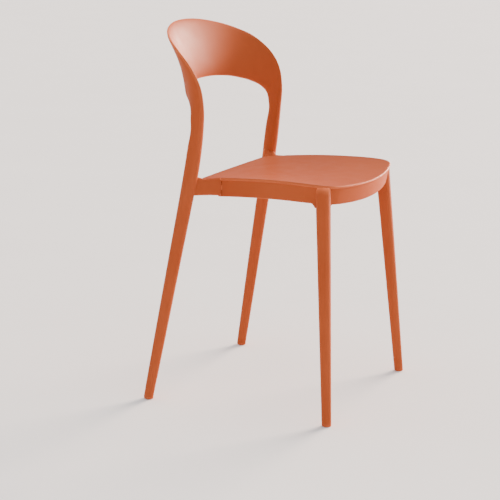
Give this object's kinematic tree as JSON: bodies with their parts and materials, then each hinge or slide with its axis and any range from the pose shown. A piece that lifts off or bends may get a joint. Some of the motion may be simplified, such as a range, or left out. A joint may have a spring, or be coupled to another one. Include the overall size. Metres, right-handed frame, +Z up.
{
  "type": "stacking chair",
  "caption": "Moulded plastic stacking chair: an arched, wrap-round back with a wide opening under its crown, a bowed flat seat with a lip, and splayed tapered legs.",
  "frame": {"origin": "on the floor, in the middle of the chair's outer box", "axes": "+X towards the sitter's left, -Y towards the front of the chair, +Z up"},
  "size_m": [0.4744, 0.44, 0.735],
  "materials": {
    "seat_plastic": "terracotta polypropylene, fine satin texture",
    "back_plastic": "terracotta polypropylene, fine satin texture",
    "glide_nylon": "brown nylon, matte",
    "pad_rubber": "dark brown rubber, matte",
    "bolt_steel": "zinc plated",
    "insert_brass": "plain"
  },
  "bodies": {
    "root": {"seat_frame": "seat_plastic", "back_frame": "back_plastic", "front_left_glide": "glide_nylon", "rear_left_glide": "glide_nylon", "front_left_insert": "insert_brass", "front_left_washer": "bolt_steel", "front_left_bolt": "bolt_steel", "rear_left_insert": "insert_brass", "rear_left_washer": "bolt_steel", "rear_left_bolt": "bolt_steel", "front_left_stack_pad": "pad_rubber", "rear_left_stack_pad": "pad_rubber", "front_right_glide": "glide_nylon", "rear_right_glide": "glide_nylon", "front_right_insert": "insert_brass", "front_right_washer": "bolt_steel", "front_right_bolt": "bolt_steel", "rear_right_insert": "insert_brass", "rear_right_washer": "bolt_steel", "rear_right_bolt": "bolt_steel", "front_right_stack_pad": "pad_rubber", "rear_right_stack_pad": "pad_rubber"}
  },
  "joints": []
}
